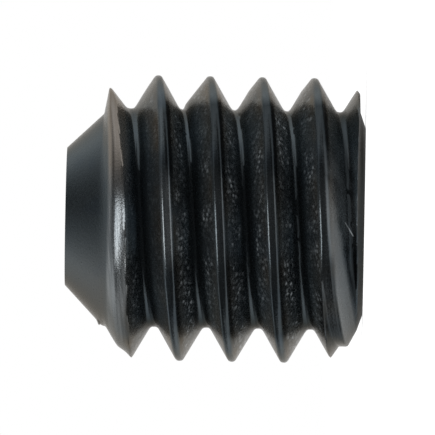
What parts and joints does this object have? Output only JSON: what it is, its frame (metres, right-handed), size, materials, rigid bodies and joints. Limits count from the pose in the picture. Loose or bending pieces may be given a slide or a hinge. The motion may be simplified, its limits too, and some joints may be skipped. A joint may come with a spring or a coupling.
{
  "type": "hex socket set screw",
  "caption": "Short headless set screw with a coarse right-hand thread, a hollow cup point at one end and a hexagon key socket in the other; clamps a collar or knob to its shaft.",
  "frame": {"origin": "centre of the socket end, where the axis meets the plane the screw stands on", "axes": "+Z along the thread axis from the socket end up to the cup point; the hexagon has corners on +X and -X"},
  "size_m": [0.0038, 0.0038, 0.004],
  "materials": {
    "black_oxide_steel": "black oxide on hardened steel, oiled satin with fine bright specks on the thread flanks"
  },
  "bodies": {
    "root": {"set_screw": "black_oxide_steel"}
  },
  "joints": []
}
